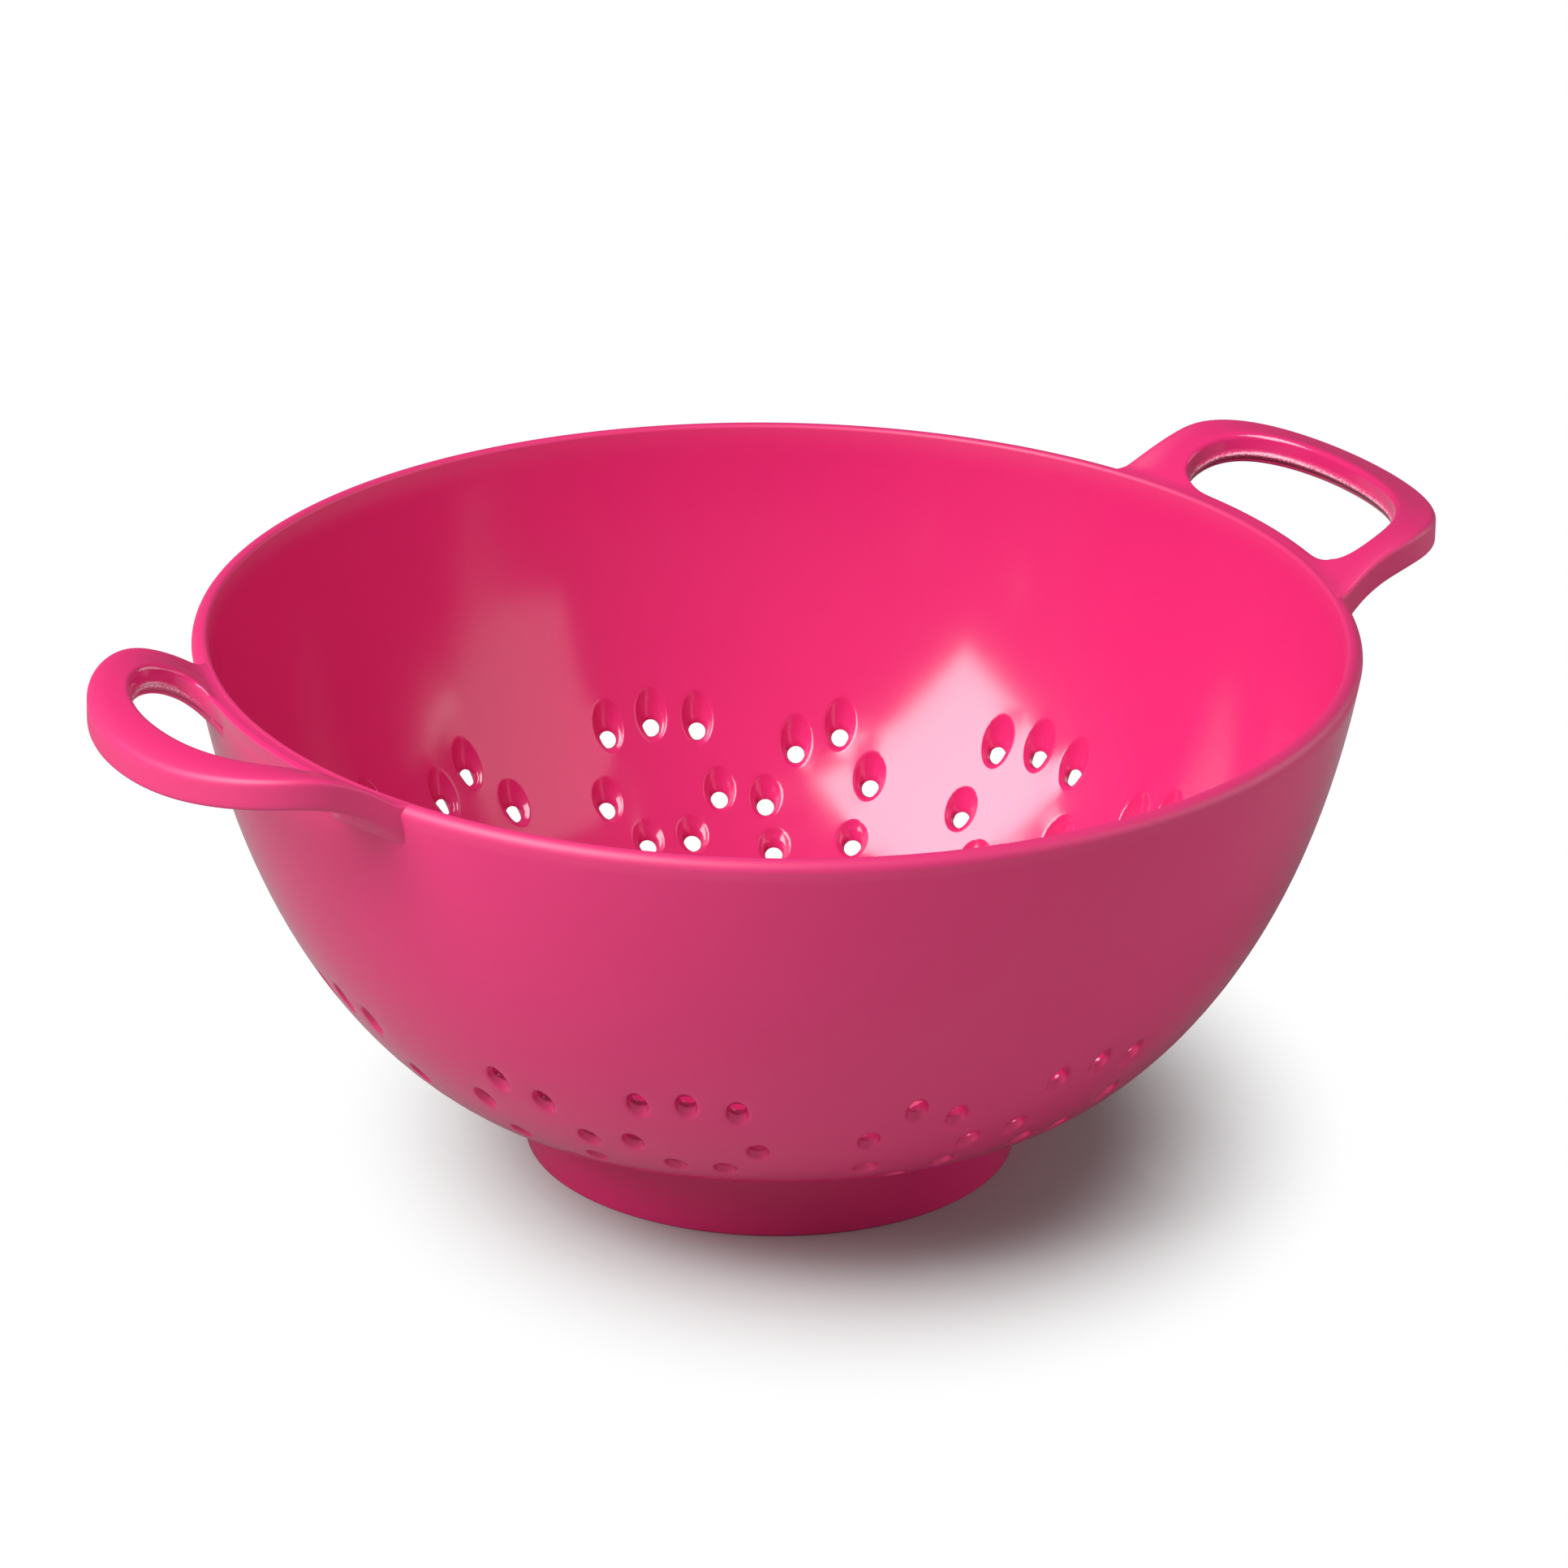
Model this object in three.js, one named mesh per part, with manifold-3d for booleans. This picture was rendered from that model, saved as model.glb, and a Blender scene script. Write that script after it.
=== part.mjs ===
// Moulded kitchen colander: a round perforated bowl on a foot ring, with two arched loop handles.
// Millimetres, +Z up. The origin is the centre of the foot's underside and +X runs through the handles.
import * as THREE from 'three';
import { mergeVertices } from 'three/addons/utils/BufferGeometryUtils.js';
import Module from 'manifold-3d';

const wasm = await Module();
wasm.setup();

// Bowl
const RIM_RADIUS = 100;
const HEIGHT = 94.6;
const WALL = 2.8;
const RIM_ROUND = 0.8;
const RIM_DRAFT_DEG = 7.6;
const WALL_FULLNESS = 58.6;
const FLOOR_RADIUS = 57;
const FLOOR_TURN = 4;

// Foot ring
const FOOT_HEIGHT = 17.4;
const FOOT_RADIUS = 42;
const FOOT_TAPER = 0.8;
const FOOT_WALL = 3.2;
const FOOT_ROUND = 0.8;

// Loop handles: plan view, then the arch that lifts them over the rim
const HANDLE_REACH = 26.8;
const HANDLE_WIDTH = 67.2;
const HANDLE_SHOULDER = { along: 12, across: 20 };
const ARM_STRAIGHT = 4;
const HANDLE_THICKNESS = 5.6;
const HANDLE_EDGE = 1.2;
const GRIP_WIDTH = 7.4;
const ARM_WIDTH = 7.8;
const LOOP_SHOULDER = { along: 9, across: 15 };
const LOOP_CORNER = 9;
const RIM_WEB = 1;
const ROOT_FLARE = 3.2;
const ROOT_FLARE_LENGTH = 9;
const ROOT_DEPTH = 9;
const ROOT_LEAD = 5;
const ARCH_RISE = 7.1;
const ARCH_CREST = 16;
const ARCH_FALL = 19;
const SEAT_GAP = 0.3;

// Drain holes: seven pairs of hole groups round the wall and one ring in the floor.
// Each is a round hole with a dished recess on both faces, pressed upright, so it is longer on a steep wall.
const HOLE_RADIUS = 1.5;
const INNER_DISH = { halfWidth: 2.5, below: 2.4 };
const OUTER_DISH = { halfWidth: 2.1, below: null };
const DISH_STRETCH_MAX = 1.9;
const DISH_OVERSHOOT = 1.2;
const GROUP_PAIRS = 7;
const HIGH_GROUP_DEG = 22.8;
const LOW_GROUP_DEG = 0.9;
// Degrees from the middle of the group, and distance from the bowl's axis half way through the wall
const HIGH_GROUP = [[0, 81.5], [5.9, 80.8], [-5.9, 80.8], [8.2, 73.2], [-8.2, 73.2], [3.5, 67.6], [-3.5, 67.6]];
const LOW_GROUP = [[-2.4, 80.3], [3.2, 78.4], [-7.3, 75.2], [7.2, 72.2], [-6.2, 67.3], [5.9, 65.5], [0, 61]];
const FLOOR_HOLES = 7;
const FLOOR_HOLES_RADIUS = 24;

// Smoothness
const ROUND_STEPS = 56;
const WALL_STEPS = 8;
const HOLE_SIDES = 6;
const CORNER_STEPS = 8;
const MERGE = 1e-3;

const GLOSS_PINK = { color: 0xe32a72, roughness: 0.16, metalness: 0 };

function solid(geometry) {
  const bare = geometry.clone();
  bare.deleteAttribute('normal');
  bare.deleteAttribute('uv');
  const merged = mergeVertices(bare, MERGE);
  const corners = merged.index.array;
  const triangles = [];
  for (let i = 0; i < corners.length; i += 3) {
    const [a, b, c] = corners.subarray(i, i + 3);
    if (a !== b && b !== c && c !== a) triangles.push(a, b, c);
  }
  const mesh = new wasm.Mesh({
    numProp: 3,
    vertProperties: new Float32Array(merged.attributes.position.array),
    triVerts: new Uint32Array(triangles),
  });
  return new wasm.Manifold(mesh);
}

function geometryOf(manifold) {
  const mesh = manifold.getMesh();
  const geometry = new THREE.BufferGeometry();
  geometry.setAttribute('position', new THREE.BufferAttribute(new Float32Array(mesh.vertProperties), 3));
  geometry.setIndex(new THREE.BufferAttribute(new Uint32Array(mesh.triVerts), 1));
  geometry.computeVertexNormals();
  return geometry;
}

function revolve(profile) {
  const geometry = new THREE.LatheGeometry(profile, ROUND_STEPS);
  geometry.rotateX(Math.PI / 2);
  return geometry;
}

function piece(name, geometry) {
  const mesh = new THREE.Mesh(geometry, new THREE.MeshStandardMaterial(GLOSS_PINK));
  mesh.name = name;
  return mesh;
}

// Outside of the wall as (radius, height), from the rim down to the edge of the level floor
const rimDraft = THREE.MathUtils.degToRad(RIM_DRAFT_DEG);
const wallCurve = new THREE.CubicBezierCurve(
  new THREE.Vector2(RIM_RADIUS, HEIGHT),
  new THREE.Vector2(RIM_RADIUS - WALL_FULLNESS * Math.sin(rimDraft), HEIGHT - WALL_FULLNESS * Math.cos(rimDraft)),
  new THREE.Vector2(FLOOR_RADIUS + FLOOR_TURN, FOOT_HEIGHT),
  new THREE.Vector2(FLOOR_RADIUS, FOOT_HEIGHT),
);

// Point on the wall's outside and the direction from there into the wall
function wallFrame(t) {
  const point = wallCurve.getPoint(t);
  const down = wallCurve.getTangent(t);
  return { point, inward: new THREE.Vector2(down.y, -down.x) };
}

// The place on the wall whose middle, half way through, lies at that distance from the axis
function wallFrameAtRadius(radius) {
  if (radius <= FLOOR_RADIUS) {
    return { point: new THREE.Vector2(radius, FOOT_HEIGHT), inward: new THREE.Vector2(0, 1) };
  }
  let near = 0;
  let far = 1;
  for (let i = 0; i < 40; i += 1) {
    const middle = (near + far) / 2;
    const { point, inward } = wallFrame(middle);
    if (point.x + (WALL / 2) * inward.x > radius) near = middle;
    else far = middle;
  }
  return wallFrame(near);
}

function roundedEdge(centreRadius, centreHeight, radius, fromDeg) {
  const points = [];
  for (let step = 0; step <= 2; step += 1) {
    const angle = THREE.MathUtils.degToRad(fromDeg + step * 45);
    points.push(new THREE.Vector2(centreRadius + radius * Math.cos(angle), centreHeight + radius * Math.sin(angle)));
  }
  return points;
}

// One drain-hole cutter: sections stacked along the wall's normal, widest past the two faces
function drainCutter(azimuthDeg, radius) {
  const { point, inward } = wallFrameAtRadius(radius);
  const sections = [
    dishSection(OUTER_DISH, -1, inward.y),
    { depth: 0, halfLength: HOLE_RADIUS, halfWidth: HOLE_RADIUS, uphill: 0 },
    dishSection(INNER_DISH, 1, inward.y),
  ];
  const positions = [];
  for (const section of sections) {
    const along = WALL / 2 + section.depth;
    for (let side = 0; side < HOLE_SIDES; side += 1) {
      const angle = ((side + 0.5) / HOLE_SIDES) * 2 * Math.PI;
      const uphill = section.uphill + section.halfLength * Math.cos(angle);
      const across = section.halfWidth * Math.sin(angle);
      positions.push(point.x + along * inward.x + uphill * inward.y, across, point.y + along * inward.y - uphill * inward.x);
    }
  }
  const triangles = [];
  const last = (sections.length - 1) * HOLE_SIDES;
  for (let side = 0; side < HOLE_SIDES; side += 1) {
    const next = (side + 1) % HOLE_SIDES;
    for (let base = 0; base < last; base += HOLE_SIDES) {
      const upper = base + HOLE_SIDES;
      triangles.push(base + side, base + next, upper + next, base + side, upper + next, upper + side);
    }
    if (side > 1) {
      triangles.push(0, side, side - 1, last, last + side - 1, last + side);
    }
  }
  const geometry = new THREE.BufferGeometry();
  geometry.setAttribute('position', new THREE.Float32BufferAttribute(positions, 3));
  geometry.setIndex(triangles);
  geometry.rotateZ(THREE.MathUtils.degToRad(azimuthDeg));
  return solid(geometry);
}

// A dish is stated where it meets the wall's face; its section lies a little further out
function dishSection(dish, side, levelness) {
  const stretch = 1 + DISH_OVERSHOOT / (WALL / 2);
  const widened = (size) => HOLE_RADIUS + (size - HOLE_RADIUS) * stretch;
  const halfLength = dish.halfWidth * Math.min(1 / levelness, DISH_STRETCH_MAX);
  const uphill = dish.below === null ? 0 : halfLength - dish.below;
  return {
    depth: side * (WALL / 2 + DISH_OVERSHOOT),
    halfLength: widened(halfLength),
    halfWidth: widened(dish.halfWidth),
    uphill: uphill * stretch,
  };
}

function bowlShell() {
  const edgeHeight = HEIGHT - RIM_ROUND;
  const outside = [];
  const inside = [];
  for (let step = 0; step <= WALL_STEPS; step += 1) {
    const { point, inward } = wallFrame(1 - step / WALL_STEPS);
    const inner = point.clone().addScaledVector(inward, WALL);
    if (point.y < edgeHeight) outside.push(point);
    if (inner.y < edgeHeight) inside.unshift(inner);
  }
  const profile = [
    new THREE.Vector2(0, FOOT_HEIGHT),
    ...outside,
    ...roundedEdge(RIM_RADIUS - RIM_ROUND, edgeHeight, RIM_ROUND, 0),
    ...roundedEdge(RIM_RADIUS - WALL + RIM_ROUND, edgeHeight, RIM_ROUND, 90),
    ...inside,
    new THREE.Vector2(0, FOOT_HEIGHT + WALL),
  ];
  let shell = solid(revolve(profile));
  for (let pair = 0; pair < GROUP_PAIRS; pair += 1) {
    const turn = (360 / GROUP_PAIRS) * pair;
    for (const [offset, radius] of HIGH_GROUP) {
      shell = shell.subtract(drainCutter(turn + HIGH_GROUP_DEG + offset, radius));
    }
    for (const [offset, radius] of LOW_GROUP) {
      shell = shell.subtract(drainCutter(turn + LOW_GROUP_DEG + offset, radius));
    }
  }
  for (let hole = 0; hole < FLOOR_HOLES; hole += 1) {
    shell = shell.subtract(drainCutter((360 / FLOOR_HOLES) * hole, FLOOR_HOLES_RADIUS));
  }
  return piece('bowl_shell', geometryOf(shell));
}

// Tapered ring that seats flat against the underside of the floor
function footRing() {
  const top = FOOT_RADIUS + FOOT_TAPER;
  const profile = [
    new THREE.Vector2(top - FOOT_WALL, FOOT_HEIGHT),
    ...roundedEdge(FOOT_RADIUS - FOOT_WALL + FOOT_ROUND, FOOT_ROUND, FOOT_ROUND, 180),
    ...roundedEdge(FOOT_RADIUS - FOOT_ROUND, FOOT_ROUND, FOOT_ROUND, 270),
    new THREE.Vector2(top, FOOT_HEIGHT),
    new THREE.Vector2(top - FOOT_WALL, FOOT_HEIGHT),
  ];
  return piece('foot_ring', revolve(profile));
}

// Half of a handle's outer edge, from inside the wall out to the middle of the grip, on the +Y side
function outerHalf() {
  const halfWidth = HANDLE_WIDTH / 2;
  const reach = RIM_RADIUS + HANDLE_REACH;
  const rootStart = RIM_RADIUS - ROOT_DEPTH;
  const flareEnd = rootStart + ROOT_FLARE_LENGTH;
  const bendStart = RIM_RADIUS + ARM_STRAIGHT;
  const path = new THREE.Path();
  path.moveTo(rootStart - ROOT_LEAD, halfWidth + ROOT_FLARE);
  path.lineTo(rootStart, halfWidth + ROOT_FLARE);
  path.quadraticCurveTo(flareEnd - ROOT_FLARE_LENGTH / 2, halfWidth, flareEnd, halfWidth);
  path.lineTo(bendStart, halfWidth);
  path.bezierCurveTo(bendStart + HANDLE_SHOULDER.along, halfWidth, reach, HANDLE_SHOULDER.across, reach, 0);
  return path.getPoints(CORNER_STEPS);
}

// Half of the loop's opening: along the rim's web, round a corner, up the arm and to the middle of the grip
function loopHalf() {
  const halfWidth = HANDLE_WIDTH / 2 - ARM_WIDTH;
  const reach = RIM_RADIUS + HANDLE_REACH - GRIP_WIDTH;
  const bendStart = RIM_RADIUS + ARM_STRAIGHT;
  const webRadius = RIM_RADIUS + RIM_WEB;
  const webEnd = halfWidth - LOOP_CORNER;
  const webEndX = Math.sqrt(webRadius * webRadius - webEnd * webEnd);
  const cornerX = webEndX - (LOOP_CORNER * webEnd) / webEndX;
  const path = new THREE.Path();
  path.moveTo(webRadius, 0);
  path.quadraticCurveTo(webRadius, webEnd / 2, webEndX, webEnd);
  path.quadraticCurveTo(cornerX, halfWidth, bendStart, halfWidth);
  path.bezierCurveTo(bendStart + LOOP_SHOULDER.along, halfWidth, reach, LOOP_SHOULDER.across, reach, 0);
  return path.getPoints(CORNER_STEPS);
}

// Both halves of an outline that is mirrored over the X axis, with the points on the axis kept once
function closed(half) {
  const mirrored = half.map((point) => new THREE.Vector2(point.x, -point.y)).reverse();
  return [...half, ...mirrored].filter((point, i, all) => point.distanceTo(all[(i + 1) % all.length]) > MERGE);
}

function handle(name, turn) {
  const outline = new THREE.Shape(closed(outerHalf()));
  outline.holes.push(new THREE.Path(closed(loopHalf()).reverse()));
  const plate = new THREE.ExtrudeGeometry(outline, {
    depth: HANDLE_THICKNESS - 2 * HANDLE_EDGE,
    bevelThickness: HANDLE_EDGE,
    bevelSize: HANDLE_EDGE,
    bevelOffset: -HANDLE_EDGE,
    bevelSegments: 2,
  });
  const place = plate.attributes.position;
  for (let i = 0; i < place.count; i += 1) {
    const beyondRim = Math.hypot(place.getX(i), place.getY(i)) - RIM_RADIUS;
    const fromCrest = (beyondRim - ARCH_CREST) / (beyondRim < ARCH_CREST ? ARCH_CREST : ARCH_FALL);
    const lift = ARCH_RISE * (1 - fromCrest * fromCrest);
    place.setZ(i, place.getZ(i) + HEIGHT + lift - HANDLE_THICKNESS + HANDLE_EDGE);
  }
  const geometry = geometryOf(solid(plate).subtract(seatCutter()));
  geometry.rotateZ(turn);
  return piece(name, geometry);
}

// Everything inside the bowl's outside, with the seat gap, so a handle's roots follow the wall
function seatCutter() {
  const profile = [new THREE.Vector2(0, FOOT_HEIGHT)];
  for (let step = 0; step <= WALL_STEPS; step += 1) {
    const point = wallCurve.getPoint(1 - step / WALL_STEPS);
    profile.push(new THREE.Vector2(point.x + SEAT_GAP, point.y));
  }
  const clear = HEIGHT + ARCH_RISE + HANDLE_THICKNESS;
  profile.push(new THREE.Vector2(RIM_RADIUS + SEAT_GAP, clear), new THREE.Vector2(0, clear));
  return solid(revolve(profile));
}

const colander = new THREE.Group();
colander.add(bowlShell());
colander.add(footRing());
colander.add(handle('handle_right', 0));
colander.add(handle('handle_left', Math.PI));

export default colander;
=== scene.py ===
import math

import bpy
import numpy as np
from mathutils import Matrix, Vector
from mathutils.geometry import delaunay_2d_cdt


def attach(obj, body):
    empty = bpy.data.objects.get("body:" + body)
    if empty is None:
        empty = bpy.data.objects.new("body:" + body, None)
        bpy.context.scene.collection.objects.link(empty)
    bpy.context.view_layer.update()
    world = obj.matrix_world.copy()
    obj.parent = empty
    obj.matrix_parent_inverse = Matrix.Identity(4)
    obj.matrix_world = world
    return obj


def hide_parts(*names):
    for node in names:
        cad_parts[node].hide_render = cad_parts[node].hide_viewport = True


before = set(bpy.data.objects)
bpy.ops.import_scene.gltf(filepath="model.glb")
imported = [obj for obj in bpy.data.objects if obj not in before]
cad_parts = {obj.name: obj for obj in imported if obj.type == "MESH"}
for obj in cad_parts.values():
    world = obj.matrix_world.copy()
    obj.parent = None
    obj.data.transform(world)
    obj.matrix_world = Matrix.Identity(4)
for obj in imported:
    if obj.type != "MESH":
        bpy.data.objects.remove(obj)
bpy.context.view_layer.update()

# Bowl: a thin round shell, pressed in one shot from pink melamine and polished by the steel mould.
# Seven like segments go round it, each with two groups of dished drain holes and one hole in the floor.
# Sizes are in millimetres until a mesh is made.
MM = 0.001
RIM_RADIUS = 100.0
RIM_HEIGHT = 94.6
WALL = 2.8
RIM_ROUND = 1.9
RIM_INNER_ROUND = 0.8
RIM_DRAFT = math.radians(7.6)
WALL_FULLNESS = 58.6
FLOOR_RADIUS = 57.0
FLOOR_TURN = 4.0
FLOOR_UNDERSIDE = 17.4
INSIDE_TURN_AT = 0.85
SEGMENTS = 7
SEGMENT_FROM = math.radians(-13.4)
SEGMENT_TURN = 2 * math.pi / SEGMENTS
HOLED_TO_HEIGHT = 62.0
HOLE_RADIUS = 1.58
# A dish's lip and bore: half width, and reach downhill of the hole where it isn't the half length.
# The ovals lengthen with the wall's slope, up to the slope whose cosine is the last number.
INNER_DISH = {"lip": (2.8, 2.7), "bore": (1.8, 2.0), "steep": 0.57}
OUTER_DISH = {"lip": (1.95, None), "bore": None, "steep": 0.43}
# Holes: degrees from the middle of their group, or from +X for the floor's, and distance from the axis
HIGH_GROUP_AT = 22.8
HIGH_GROUP = [
    (0, 81.5), (5.9, 80.8), (-5.9, 80.8), (8.2, 73.2), (-8.2, 73.2), (3.5, 67.6), (-3.5, 67.6),
]
LOW_GROUP_AT = 0.9
LOW_GROUP = [
    (-2.4, 80.3), (3.2, 78.4), (-7.3, 75.2), (7.2, 72.2), (-6.2, 67.3), (5.9, 65.5), (0, 61),
]
FLOOR_HOLE = (0, 24)
# How a dish falls: share of the way from the hole to its bore, share from there to its lip,
# length past the lip, depth
INNER_FALL = [
    (0, 0, 0, 1.6), (0.45, 0, 0, 1.25), (1, 0, 0, 0.62), (1, 0.3, 0, 0.5), (1, 0.6, 0, 0.33),
    (1, 0.85, 0, 0.17), (1, 1, 0, 0.06), (1, 1, 0.2, 0.015), (1, 1, 0.5, 0),
]
OUTER_FALL = [
    (1, 0, 0, 1.1), (1, 0.25, 0, 0.99), (1, 0.5, 0, 0.75), (1, 0.75, 0, 0.42), (1, 0.92, 0, 0.165),
    (1, 1, 0, 0.08), (1, 1, 0.5, 0),
]
# The bore is upright, so its mouth lies deeper on the uphill side
BORE_UPHILL = 0.4
# How finely the shell is cut up; a dish's points crowd to its two ends, where its oval bends most
WALL_STATIONS = 601
FLOOR_STATIONS = 121
TURN_STATIONS = 30
BAND_STATIONS = 15
RIM_ROUND_STEPS = 9
SEGMENT_COLUMNS = 48
HOLE_SIDES = 24
END_CROWDING = 0.22
MESH_PITCH = 3.0
DISH_CLEARANCE = 0.8
SEARCH_STEPS = 40
SAME_POINT = 1e-6
WELD = 0.00001


def clamped(value):
    return min(max(value, 0.0), 1.0)


def wall_at(share):
    """Outside of the wall from the rim, 0, to the floor's edge, 1: its point and the way into the wall."""
    posts = np.array([
        (RIM_RADIUS, RIM_HEIGHT),
        (RIM_RADIUS - WALL_FULLNESS * math.sin(RIM_DRAFT), RIM_HEIGHT - WALL_FULLNESS * math.cos(RIM_DRAFT)),
        (FLOOR_RADIUS + FLOOR_TURN, FLOOR_UNDERSIDE),
        (FLOOR_RADIUS, FLOOR_UNDERSIDE),
    ])
    a, b = share, 1 - share
    point = b**3 * posts[0] + 3 * b * b * a * posts[1] + 3 * b * a * a * posts[2] + a**3 * posts[3]
    run = b * b * (posts[1] - posts[0]) + 2 * a * b * (posts[2] - posts[1]) + a * a * (posts[3] - posts[2])
    run = run / np.hypot(*run)
    return point, np.array([run[1], -run[0]])


class Side:
    """One face of the shell as a profile from the axis to the rim, measured along its own length."""

    def __init__(self, points):
        self.radius, self.height = np.array(points).T
        steps = np.hypot(np.diff(self.radius), np.diff(self.height))
        self.along = np.concatenate([[0], np.cumsum(steps)])
        run_r = np.gradient(self.radius, self.along)
        run_z = np.gradient(self.height, self.along)
        size = np.hypot(run_r, run_z)
        self.up_r, self.up_z = -run_z / size, run_r / size
        self.wall = self.along > FLOOR_RADIUS

    def read(self, values, along):
        """One of this face's own rows of values, such as its radius, that far along it."""
        return float(np.interp(along, self.along, values))

    def at(self, along, azimuth, raised):
        """A point on this face, raised from it towards the bowl's inside."""
        radius = self.read(self.radius, along) + raised * self.read(self.up_r, along)
        height = self.read(self.height, along) + raised * self.read(self.up_z, along)
        return (radius * math.cos(azimuth), radius * math.sin(azimuth), height)

    def nearest(self, point):
        """How far along this face lies its station next to a point."""
        return self.along[np.argmin(np.hypot(self.radius - point[0], self.height - point[1]))]

    def reach(self, height):
        """How far along this face the wall gets to that height."""
        return float(np.interp(height, self.height[self.wall], self.along[self.wall]))

    def radius_at(self, height):
        """The wall's distance from the axis at that height."""
        return float(np.interp(height, self.height[self.wall], self.radius[self.wall]))


def shell_sides():
    """Outside and inside of the shell. The inside turns into its floor on a curve of its own."""
    shares = np.linspace(1, 0, WALL_STATIONS)
    walls = [wall_at(share) for share in shares]
    floor = [(radius, FLOOR_UNDERSIDE) for radius in np.linspace(0, FLOOR_RADIUS, FLOOR_STATIONS)[:-1]]
    outer = Side(floor + [tuple(point) for point, _ in walls])
    inner_wall = []
    for (point, inward), share in zip(walls, shares):
        if share <= INSIDE_TURN_AT:
            inner_wall.append(tuple(point + WALL * inward))
    start = np.array(inner_wall[0])
    run = start - np.array(inner_wall[1])
    floor_level = FLOOR_UNDERSIDE + WALL
    corner = start + run * (floor_level - start[1]) / run[1]
    end = corner - np.array([np.hypot(*(corner - start)), 0])
    turn = []
    for share in np.linspace(0, 1, TURN_STATIONS)[:-1]:
        turn.append(tuple((1 - share)**2 * end + 2 * share * (1 - share) * corner + share**2 * start))
    floor = [(radius, floor_level) for radius in np.linspace(0, end[0], FLOOR_STATIONS)[:-1]]
    return outer, Side(floor + turn + inner_wall)


outside, inside = shell_sides()


def oval_of(side, middle, dish, part):
    """Half width and half length of a dish's oval, and how far uphill of the hole its middle lies.

    A dish is pressed upright, so it is longer on a steep wall.
    """
    if dish[part] is None:
        return HOLE_RADIUS, HOLE_RADIUS, 0.0
    width, downhill = dish[part]
    length = width / max(side.read(side.up_z, middle), dish["steep"])
    return width, length, 0.0 if downhill is None else max(length - downhill, 0.0)


def reach_of(oval, uphill, across, beyond=0.0):
    """Distance from the hole's middle to an oval, one way along the wall."""
    width, length, rise = oval[0] + beyond, oval[1] + beyond, oval[2]
    a = (uphill / length)**2 + (across / width)**2
    b = uphill * rise / length**2
    return (b + math.sqrt(b * b + a * (1 - (rise / length)**2))) / a


def ring_of(lip, bore, to_bore, to_lip, beyond, depth):
    """One loop of a dish, between the hole, the mouth of its bore and its lip: places and depths."""
    loop = []
    for side in range(HOLE_SIDES):
        turn = 2 * math.pi * side / HOLE_SIDES
        angle = turn - END_CROWDING * math.sin(2 * turn)
        uphill, across = math.cos(angle), math.sin(angle)
        mouth = max(reach_of(bore, uphill, across), HOLE_RADIUS)
        edge = reach_of(lip, uphill, across, beyond)
        size = HOLE_RADIUS + to_bore * (mouth - HOLE_RADIUS) + to_lip * (edge - mouth)
        sunk = BORE_UPHILL * min(to_bore, 1 - to_lip) * max(uphill, 0) * min(bore[2], 1)
        loop.append((size * uphill, size * across, depth + sunk))
    return loop


def segment_holes():
    """Azimuth and distance from the axis of each hole in a segment."""
    holes = [(math.radians(HIGH_GROUP_AT + turn), radius) for turn, radius in HIGH_GROUP]
    holes += [(math.radians(LOW_GROUP_AT + turn), radius) for turn, radius in LOW_GROUP]
    return holes + [(math.radians(FLOOR_HOLE[0]), FLOOR_HOLE[1])]


def hole_middle(side, radius):
    """Where a drain hole lies on one face: half way through the wall it is at that distance from the axis."""
    if radius <= FLOOR_RADIUS:
        return radius
    near, far = 0.0, 1.0
    for _ in range(SEARCH_STEPS):
        middle = (near + far) / 2
        point, inward = wall_at(middle)
        if point[0] + WALL / 2 * inward[0] > radius:
            near = middle
        else:
            far = middle
    point, inward = wall_at(near)
    return side.nearest(point + WALL / 2 * inward)


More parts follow.
